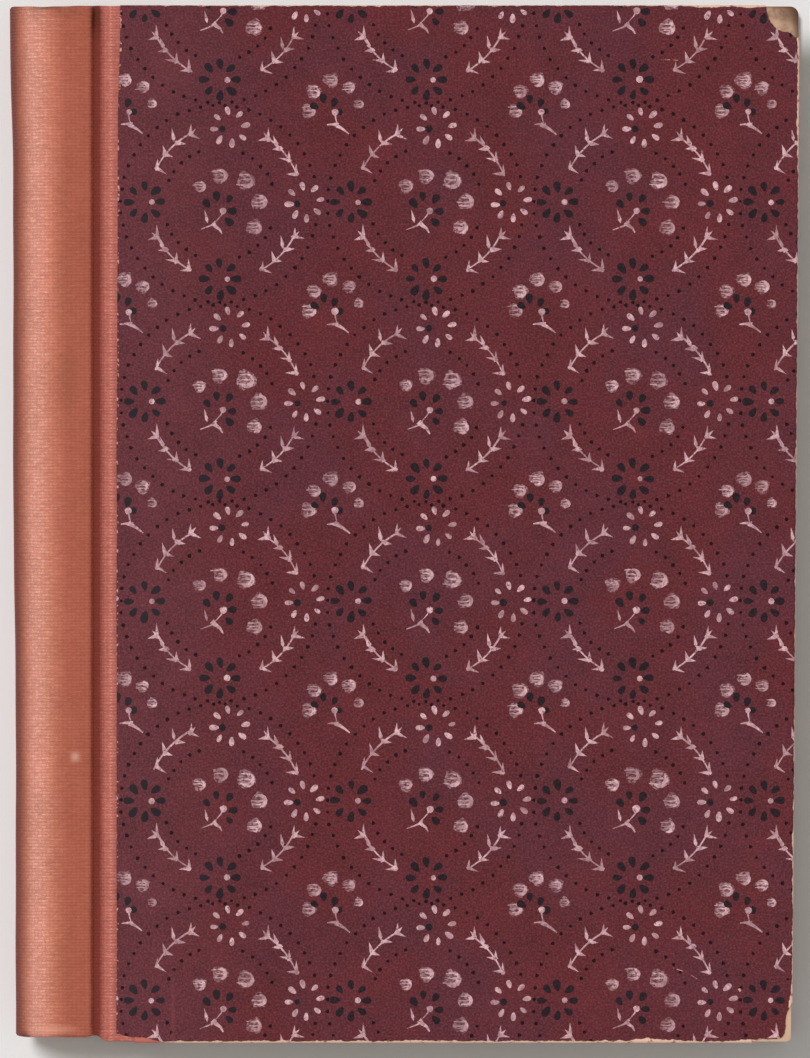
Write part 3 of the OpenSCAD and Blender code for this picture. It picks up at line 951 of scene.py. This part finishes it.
class Recipe:
    """A material in the making. Each method adds a node and gives back what comes out of it."""

    def __init__(self, name):
        self.material = bpy.data.materials.new(name)
        self.material.use_nodes = True
        self.tree = self.material.node_tree
        self.shader = self.tree.nodes["Principled BSDF"]

    def join(self, value, socket):
        """Links an output to an input, or sets the input to a plain value."""
        if isinstance(value, bpy.types.NodeSocket):
            self.tree.links.new(value, socket)
        else:
            socket.default_value = value

    def node(self, kind, values, out=0, **settings):
        """A node of any kind, with its settings, and its inputs by name or number."""
        node = self.tree.nodes.new("ShaderNode" + kind)
        for key, value in settings.items():
            setattr(node, key, value)
        for key, value in values.items():
            self.join(value, node.inputs[key])
        return node.outputs[out]

    def math(self, operation, *values):
        """One operation on numbers."""
        return self.node("Math", dict(enumerate(values)), operation=operation)

    def total(self, first, *more):
        """The sum of several numbers."""
        for value in more:
            first = self.math("ADD", first, value)
        return first

    def product(self, first, *more):
        """The product of several numbers."""
        for value in more:
            first = self.math("MULTIPLY", first, value)
        return first

    def weigh(self, base, *parts):
        """A base plus each value times its weight."""
        return self.total(base, *[self.product(value, weight) for value, weight in parts])

    def step(self, value, low, high, start=0.0, end=1.0):
        """A smooth change from start, up to low, to end, from high on."""
        return self.node("MapRange", {0: value, 1: low, 2: high, 3: start, 4: end},
                         interpolation_type="SMOOTHSTEP")

    def bell(self, value, middle, width):
        """1 at the middle, falling smoothly to 0 at a distance of width on both sides."""
        return self.step(self.math("ABSOLUTE", self.math("SUBTRACT", value, middle)), width, 0.0)

    def noise(self, place, size, detail=2.0, stretch=(1, 1, 1)):
        """Noise from 0 to 1 with features of about this size. A stretch above 1 makes it finer that way."""
        fine = self.node("VectorMath", {0: place, 1: stretch}, operation="MULTIPLY")
        return self.node("TexNoise", {"Vector": fine, "Scale": 1 / size, "Detail": detail})

    def mix(self, share, first, second):
        """One colour turning into another as share goes from 0 to 1. A tuple is a colour on a screen."""
        first, second = (shade(*value) if isinstance(value, tuple) else value for value in (first, second))
        return self.node("Mix", {0: share, 6: first, 7: second}, out=2, data_type="RGBA")

    def tint(self, colour, other, *shares):
        """A colour with another laid over it, as strongly as the product of the shares."""
        return self.mix(self.product(*shares), colour, other)

    def lit(self, colour, strength):
        """A colour made lighter or darker."""
        return self.node("VectorMath", {0: colour, "Scale": strength}, operation="SCALE")

    def parts(self, place):
        """A place and its three numbers."""
        split = self.tree.nodes.new("ShaderNodeSeparateXYZ")
        self.join(place, split.inputs[0])
        return place, *split.outputs

    def measures(self, name):
        """A piece's flat measures, in millimetres, as a place and as its two numbers."""
        return self.parts(self.node("UVMap", {}, uv_map=name))[:3]

    def object_place(self):
        """A place in the piece's own coordinates, in millimetres, and its three numbers."""
        place = self.node("TexCoord", {}, out=3)
        return self.parts(self.node("VectorMath", {0: place, 1: (1 / MM,) * 3}, operation="MULTIPLY"))

    def finish(self, colour, roughness, height, depth, specular=0.3):
        """Joins colour, roughness and a bump, whose height of 0 to 1 stands for a depth in millimetres."""
        bump = self.node("Bump", {"Height": height, "Distance": depth * MM})
        for name, value in (("Base Color", colour), ("Roughness", roughness), ("Normal", bump),
                            ("Specular IOR Level", specular)):
            self.join(value, self.shader.inputs[name])
        return self.material


# %% [markdown]
# The print has faded unevenly: redder in the middle of the cover, greyer by the cloth. Pale ink was
# laid on with a brush, so the blossoms are broken by streaks. Colour has worn off the folds down to
# the paper's cream, most along the fore-edge and at the corners.


# %% Printed paper
DARK_INKS = [((22, 13, 19), (50, 34, 40), (43, 35, 41)), ((16, 1, 5), (38, 7, 12), (36, 10, 16))]
RUB_SOFT = 0.14
RIDGE_HIGHLIGHT_X = paper_x + 9.8


def printed_paper(name, is_front):
    """The covering paper. The ink attribute says which colour a face of the mesh is printed in.

    Wear is where the distance past an edge, a width that depends on the place and a ragged noise add up
    to more than 0. It ends a little way down the wall of the board.
    """
    r = Recipe(name)
    place, u, v = r.measures("sheet")
    ink = r.node("Attribute", {}, out=2, attribute_name="ink")
    grain = r.noise(place, 0.42, 3)
    fibre = r.noise(place, 0.8, 2, (1.2, 0.9, 1))
    cloud = r.noise(place, 10, 4)
    strength = r.weigh(-0.5, (grain, 1.6), (fibre, 0.5), (cloud, 0.5), (r.noise(place, 2.6, 3), 0.4))

    ground = r.mix(r.step(r.noise(place, 22, 3), 0.38, 0.62), (94, 33, 38), (89, 36, 45))
    by_cloth = r.step(u, paper_x + 30, paper_x + 2, 0.0, 0.8)
    ground = r.mix(by_cloth, ground, (97, 45, 52))
    ground = r.lit(ground, strength)
    dust = r.step(r.noise(place, 0.36, 2), 0.42, 0.7, 0.0, 0.09)
    ground = r.mix(dust, ground, (178, 140, 146))
    thin = r.weigh(0.6, (cloud, 0.8))
    coarse = r.step(grain, 0.3, 0.7)
    dark, dot = (r.lit(r.mix(by_cloth, r.mix(coarse, deep, grey), near), thin)
                 for deep, grey, near in DARK_INKS)
    pale = r.mix(r.step(fibre, 0.35, 0.65), (188, 144, 154), (224, 184, 186))
    fade = r.step(r.noise(place, 5, 2), 0.38, 0.66, 0.0, 0.48)
    flaked = r.step(r.noise(place, 0.55, 3), 0.52, 0.7, 0.0, 0.8)
    pale = r.mix(r.math("MAXIMUM", fade, flaked), pale, ground)
    streak = r.step(r.noise(place, 0.45, 3, (0.6, 1.3, 1)), 0.42, 0.6, 0.6, 0.06)
    brushed = r.mix(streak, ground, r.lit(pale, 0.85))
    cream = r.mix(r.noise(place, 0.8, 2), (188, 108, 98), (230, 180, 160))
    by_border = r.step(u, paper_x + 6, paper_x + 3, 0.0, 0.1)
    chip = r.step(r.math("SUBTRACT", r.noise(place, 0.9, 3), by_border), 0.44, 0.54)
    chipped = r.mix(chip, ground, cream)
    colour = ground
    for code, printed in ((INK, dark), (DOT, dot), (PALE, pale), (BRUSHED, brushed), (BARE, chipped)):
        colour = r.mix(r.math("COMPARE", ink, float(code), 0.5), colour, printed)

    beyond_fore = r.total(u, r.product(v, -FORE_TAPER / (2 * half_h)), FORE_TAPER / 2 - fore_x)
    ragged = r.total(r.product(r.noise(place, 1.4, 4), 0.9), r.product(r.noise(place, 7, 2), 0.7), -0.8)
    beyond_end = r.math("SUBTRACT", r.math("ABSOLUTE", v), half_h)
    fore_width, end_width = 0.15, r.step(u, fore_x - 12, fore_x - 3, 0.1, 0.6)
    if is_front:
        fore_width = r.total(r.step(v, 60, 72, 0.06, 0.45), r.step(v, -36, -60, 0.0, 0.12),
                             r.step(v, -83, -90, 0.0, 0.6))
        tail_width = r.total(r.step(u, fore_x - 12, fore_x - 8, 0.4, 0.7), r.product(r.bell(u, 45.4, 8), 0.5),
                             r.step(u, lap_x + 6, lap_x, 0.0, 0.75))
        end_width = r.step(v, -1, 1, tail_width, r.step(u, fore_x - 24, fore_x - 17, 0.1, 0.35))
    worn_fore, worn_end = (r.step(r.total(beyond, width, ragged), 0.0, RUB_SOFT) for beyond, width in
                           ((beyond_fore, fore_width), (beyond_end, end_width)))
    worn = r.math("MAXIMUM", worn_fore, worn_end)
    on_wall = r.math("MAXIMUM", beyond_fore, beyond_end)
    worn = r.product(worn, r.step(on_wall, 0.9, 0.4))
    bare = r.step(r.noise(place, 1.1, 3), 0.3, 0.46)
    rubbed = r.mix(bare, (176, 92, 88), (226, 188, 164))
    rubbed = r.mix(r.step(u, lap_x + 6, lap_x + 4), rubbed, (188, 106, 92))
    colour = r.mix(worn, colour, rubbed)
    if is_front:
        # Painted highlight along a faint ridge in the paper towards the tail, beside the cloth.
        colour = r.tint(colour, (132, 70, 74), r.bell(u, RIDGE_HIGHLIGHT_X, 0.6), r.step(v, -77, -88), 0.3)

    height = r.total(r.product(grain, 0.5), r.product(fibre, 0.5), r.product(worn, -0.4))
    roughness = r.step(grain, 0.3, 0.7, 0.62, 0.78)
    return r.finish(colour, roughness, height, 0.03, 0.12)


for paper, side in ((front_paper, "front"), (back_paper, "back")):
    paper.data.materials.append(printed_paper(side + "_print", side == "front"))
print("printed paper:", len(front_paper.data.materials[0].node_tree.nodes), "nodes")

# %% [markdown]
# The cloth is a plain weave: its thick threads run across the book 0.57 mm apart, and finer ones run up
# it 0.8 mm apart. Threads on top are painted lighter, with painted glints, and painted highlights run down
# the spine's rounded side and along the crest at the board's edge. The groove is painted darker, partly as
# grime and partly as painted shade, and painted shade lies on the turn of the spine and beside the groove.
# Handling has darkened the ends and left a few marks.


# %% Spine cloth
THREAD_PITCH, WARP_PITCH = 0.566, 0.8
# Places across the book of the painted highlight on the crest at the board's edge, of the painted highlight
# band down the spine's rounded side, and of the middle of the painted glints.
CREST_HIGHLIGHT_X, HIGHLIGHT_BAND_X, SHINE_X = -54.25, -68.0, -67.6
# Painted shade down the outer turn of the spine towards the tail, on both halves.
TURN_SHADE = (-72.4, -78.0, 1.8, 34.0, 0.8, (84, 24, 14))
# On the front half only, in order: a pale stain, a browner patch, painted shadow where the groove dips at the
# head, dark wear along the head, a browner head end, a painted highlight on the roll at the tail, and painted
# shade on the rounded tail corner.
FRONT_MARKS_AND_PAINTED_LIGHT = [(-60.8, -42.65, 1.4, 1.5, 0.45, (236, 190, 170)), (-61.7, 26, 2.6, 11, 0.35, (140, 84, 52)),
               (-57.4, 92.8, 2.4, 5.2, 0.85, (84, 38, 28)), (-65.8, 94.8, 4.0, 0.9, 0.7, (60, 30, 24)),
               (-63.5, 94.0, 7.0, 2.5, 0.25, (110, 62, 44)), (-65.5, -92.6, 7.5, 1.3, 0.42, (236, 170, 146)),
               (-70.3, -94.4, 3.6, 2.2, 0.9, (92, 32, 27))]
cloth_u, cloth_place_x, *_ = cloth_section()


def across(x):
    """The cloth's own measure across, at a distance x from the middle of the book."""
    return float(np.interp(-x, -cloth_place_x, cloth_u))


def book_cloth(name, front_half):
    """The spine cloth. Only the front half gets the stains, wear, painted shade and painted highlights listed
    for it; each has its place, its width and height, its share and its colour."""
    r = Recipe(name)
    place, u, v = r.measures("cloth")
    drift = r.product(r.noise(place, 12, 2), 0.6)
    row = r.product(r.total(v, drift), math.pi / THREAD_PITCH)
    column = r.product(r.total(u, drift), math.pi / WARP_PITCH)
    weft, warp = r.math("SINE", row), r.math("SINE", column)
    over = r.step(r.product(weft, warp), -0.35, 0.35)
    thick = r.noise(place, 1.3, 3, (0.6, 2.3, 1))
    weft_top = r.product(r.math("ABSOLUTE", weft), r.weigh(0.62, (over, 0.38)))
    warp_top = r.product(r.math("ABSOLUTE", warp), r.weigh(0.72, (over, -0.4)))
    height = r.product(r.math("MAXIMUM", weft_top, warp_top), r.total(0.5, thick))

    cloud = r.noise(place, 7, 4)
    long_cloud = r.noise(place, 16, 3, (2.4, 0.5, 1))
    colour = r.mix(r.step(long_cloud, 0.35, 0.65), (202, 121, 99), (191, 116, 92))
    colour = r.mix(r.step(u, across(rim_x), across(board_x), 1.0, 0.0), (176, 97, 86), colour)
    # Painted highlight along the crest where the cloth goes over the board's edge.
    colour = r.tint(colour, (222, 138, 120), r.bell(u, across(CREST_HIGHLIGHT_X), 0.42), r.step(height, 0.3, 0.6), 0.6)
    # Painted glints: noise picks which threads on top catch the light.
    glint_noise = r.step(r.noise(place, 1.0, 3, (0.9, 1.5, 1)), 0.4, 0.64)
    glint_threads = r.product(r.step(height, 0.42, 0.8), glint_noise)
    # Painted highlight: a broad lighter band down the spine's rounded side.
    colour = r.tint(colour, (226, 172, 162), r.bell(u, across(HIGHLIGHT_BAND_X), 4.2), 0.28)
    # Painted glints on the top threads, strongest round the shine's middle on the spine's rounded side.
    shine = r.weigh(0.14, (r.bell(u, across(SHINE_X), 3.8), 0.36))
    colour = r.tint(colour, (236, 180, 162), glint_threads, shine)
    speck = r.noise(place, 0.45, 2)
    # Thread tops are painted lighter by their height; cloud, thickness and specks vary the tone.
    colour = r.lit(colour, r.weigh(0.25, (height, 0.22), (cloud, 0.34), (thick, 0.45), (speck, 0.5)))

    ends = r.step(r.math("ABSOLUTE", v), spine_head_y - 2.5, spine_head_y - 0.3)
    # The groove is painted darker: partly grime, partly painted shade.
    colour = r.tint(colour, (110, 34, 26), r.bell(u, across(hinge_x + 0.15), 1.8), 0.88)
    # Painted shade where the spine turns away at its outer side.
    colour = r.tint(colour, (98, 26, 14), r.step(u, across(-68.0), across(-71.4)),
                    r.step(u, across(-71.5), across(-71.9), 0.85, 0.45))
    # Painted shade on the flat of the spine beside the groove.
    colour = r.tint(colour, (142, 58, 40), r.step(u, across(-66.5), across(-61.0)),
                    r.step(u, across(-57.7), across(-58.3)), 0.6)
    colour = r.tint(colour, (104, 58, 42), ends, r.step(u, across(-58.5), across(-60.5)),
                    r.step(r.noise(place, 2.2, 3), 0.4, 0.62), 0.25)
    patchy = r.weigh(0.6, (cloud, 0.8))
    for x, y, wide, tall, share, mark_or_light in [TURN_SHADE] + (FRONT_MARKS_AND_PAINTED_LIGHT if front_half else []):
        colour = r.tint(colour, mark_or_light, r.bell(u, across(x), wide), r.bell(v, y, tall), patchy, share)
    return r.finish(colour, r.step(height, 0.2, 0.8, 0.75, 0.6), height, 0.07, 0.12)


for cloth, side in ((front_cloth, "front"), (back_cloth, "back")):
    cloth.data.materials.append(book_cloth(side + "_cloth", side == "front"))
print("threads to the inch:", round(25.4 / THREAD_PITCH))

# %% [markdown]
# Inside the case the papers and cards are plainer. The edge of the block shows single leaves as lines,
# browned towards the covers and dusty at the head. The gauze is an open weave stiff with glue.


# %% Papers, boards and gauze
BROWN_FROM, BROWN_TO = 26, 3
GAUZE_PITCH = 1.2


def page_edge():
    """The edges of the leaves: noise that is very fine in height and long the other ways."""
    r = Recipe("page_edges")
    place, _, y, z = r.object_place()
    leaf = r.noise(place, 0.3, 4, (0.005, 0.005, 1))
    fibre = r.noise(place, 0.5, 3)
    toned = r.math("ABSOLUTE", r.math("SUBTRACT", z, mid_z))
    colour = r.mix(r.step(leaf, 0.35, 0.68), (190, 168, 132), (240, 226, 196))
    colour = r.tint(colour, (184, 152, 110), r.step(toned, 5, 10.5), r.noise(place, 6, 3))
    dust = r.step(r.noise(place, 9, 3), 0.3, 0.8)
    colour = r.tint(colour, (146, 128, 102), r.step(y, page_half - 1, page_half), dust, 0.45)
    spots = r.step(r.noise(place, 1.8, 1), 0.72, 0.8)
    colour = r.tint(colour, (158, 112, 66), spots, 0.5)
    height = r.total(r.product(leaf, 0.7), r.product(fibre, 0.3))
    return r.finish(colour, 0.85, height, 0.06, 0.2)


def plain_paper(name, light, brown, grain_size):
    """A sheet with fibres and clouds, browned along its outer edges, with a few rusty spots."""
    r = Recipe(name)
    place, x, y, _ = r.object_place()
    fibre = r.noise(place, grain_size, 4, (0.5, 1.3, 1))
    cloud = r.noise(place, 24, 4)
    near_edge = r.math("MAXIMUM", r.step(r.math("ABSOLUTE", y), half_h - BROWN_FROM, half_h - BROWN_TO),
                       r.step(x, fore_x - BROWN_FROM, fore_x - BROWN_TO))
    colour = r.tint(light, brown, near_edge, cloud, 1.1)
    colour = r.tint(colour, (176, 128, 78), r.step(r.noise(place, 3.5, 2), 0.7, 0.8), 0.5)
    colour = r.lit(colour, r.weigh(0.8, (fibre, 0.26), (cloud, 0.14)))
    return r.finish(colour, 0.82, fibre, 0.04, 0.2)


def rough_card():
    """Grey-tan millboard: short fibres of several tones, lighter towards the tail, with painted shade at the
    bare fore-edge and head, deepest at the head's fore corner.
    """
    r = Recipe("rough_card")
    place, x, y, _ = r.object_place()
    fibre = r.noise(place, 0.5, 4)
    blotch = r.noise(place, 2.4, 4)
    colour = r.mix(r.step(fibre, 0.3, 0.7), (160, 124, 102), (188, 152, 126))
    colour = r.mix(r.step(blotch, 0.4, 0.66), colour, (202, 168, 140))
    # Painted shade along the bare fore-edge and head, where the board's edge rounds away.
    rim = r.math("MAXIMUM", r.step(x, fore_x - 1.8, fore_x - 0.1), r.step(y, half_h - 0.9, half_h))
    colour = r.tint(colour, (88, 58, 44), rim, r.weigh(0.45, (blotch, 0.7)))
    # Painted shade darkening towards the head's fore corner.
    from_corner = r.node("VectorMath", {0: place, 1: (fore_x, half_h, book_t)}, out=1, operation="DISTANCE")
    colour = r.mix(r.step(from_corner, 6.5, 1.0, 0.0, 0.9), colour, (84, 54, 40))
    colour = r.mix(r.step(y, -60, -80, 0.0, 0.7), colour, (214, 180, 150))
    height = r.total(r.product(fibre, 0.5), r.product(blotch, 0.5))
    return r.finish(colour, 0.9, height, 0.09, 0.15)


def glued_gauze():
    """An open weave: threads 1.2 mm apart both ways, and browner glue in the gaps between them."""
    r = Recipe("glued_gauze")
    place, x, y, z = r.object_place()
    drift = r.product(r.noise(place, 5, 2), 0.8)
    turns = [r.product(r.total(*along, drift), math.pi / GAUZE_PITCH) for along in ((y,), (x, z))]
    rows, columns = (r.math("ABSOLUTE", r.math("SINE", turn)) for turn in turns)
    threads = r.math("MAXIMUM", r.step(rows, 0.72, 0.92), r.step(columns, 0.72, 0.92))
    colour = r.mix(threads, (168, 142, 104), (224, 212, 184))
    colour = r.lit(colour, r.weigh(0.8, (r.noise(place, 3, 4), 0.4)))
    return r.finish(colour, 0.8, threads, 0.12, 0.2)


def wound_silk():
    """Windings of two colours, four turns of each, with fine strands round the cord and painted shade in the
    dips between windings.
    """
    r = Recipe("wound_silk")
    place, turns, _ = r.measures("windings")
    colour = r.mix(r.step(r.math("SINE", r.product(turns, math.pi / 2)), -0.2, 0.2),
                   (196, 108, 84), (230, 208, 172))
    strands = r.noise(place, 0.12, 2, (1, 0.3, 1))
    # Painted shade: each winding is lit in its middle and darker where it meets the next.
    winding_shade = r.math("ABSOLUTE", r.math("SINE", r.product(turns, math.pi)))
    colour = r.lit(colour, r.weigh(0.55, (winding_shade, 0.3), (strands, 0.3)))
    return r.finish(colour, 0.5, strands, 0.05, 0.45)


endpaper = plain_paper("aged_endpaper", (232, 218, 190), (192, 158, 114), 0.6)
lining = plain_paper("brown_lining", (190, 158, 116), (150, 116, 78), 1.2)
card, net, silk = rough_card(), glued_gauze(), wound_silk()
pages.data.materials.append(page_edge())
for piece in folds:
    piece.data.materials.append(endpaper)
for piece in bands:
    piece.data.materials.append(silk)
finishes = {"flyleaf": endpaper, "pastedown": endpaper, "lining": lining, "gauze": net, "flap": net,
            "board": card, "inlay": card}
for node_name, part in nodes.items():
    found = [finish for word, finish in finishes.items() if node_name.endswith(word)]
    if found:
        part.data.materials.clear()
        part.data.materials.append(found[0])
        print(node_name, "is", found[0].name)

# %% [markdown]
# ## Floor, light and camera
#
# The picture is taken like a scan: straight down from far off with a long lens, so that the cover
# keeps its proportions. One wide sun from the left gives the spine and the groove their light and
# shade, and a pale surround fills the shadows. The view is plain, so colours come out as written.

# %% Floor, lamps and camera
scene = bpy.context.scene
FLOOR_HALF, FLOOR_Z = 3000, -0.1
SUN_PLACE, SUN_ENERGY, SUN_ANGLE = Vector((-0.24, 0.2, 0.8)), 2.0, 14
SURROUND_COLOUR, SURROUND_STRENGTH = (1.0, 0.985, 0.96, 1), 0.42
CAMERA_PLACE, CAMERA_LENS = (-0.0004, -0.00092, 4.3324), 800

floor_corners = [[FLOOR_HALF * x, FLOOR_HALF * y, FLOOR_Z] for x, y in ((-1, -1), (1, -1), (1, 1), (-1, 1))]
floor = add_mesh("floor", floor_corners, [[0, 1, 2, 3]], smooth=False)

scene.world = bpy.data.worlds.new("surround")
scene.world.use_nodes = True
surround = scene.world.node_tree.nodes["Background"]
surround.inputs["Color"].default_value = SURROUND_COLOUR
surround.inputs["Strength"].default_value = SURROUND_STRENGTH

sun = bpy.data.objects.new("key", bpy.data.lights.new("key", "SUN"))
sun.data.energy, sun.data.angle = SUN_ENERGY, math.radians(SUN_ANGLE)
sun.location = SUN_PLACE
sun.rotation_euler = (-SUN_PLACE).to_track_quat("-Z", "Y").to_euler()
scene.collection.objects.link(sun)

camera = bpy.data.objects.new("camera", bpy.data.cameras.new("camera"))
camera.data.lens = CAMERA_LENS
camera.location = CAMERA_PLACE
scene.collection.objects.link(camera)
scene.camera = camera
scene.view_settings.view_transform = "Standard"
print("camera", tuple(round(place, 4) for place in camera.location), "lens", camera.data.lens)
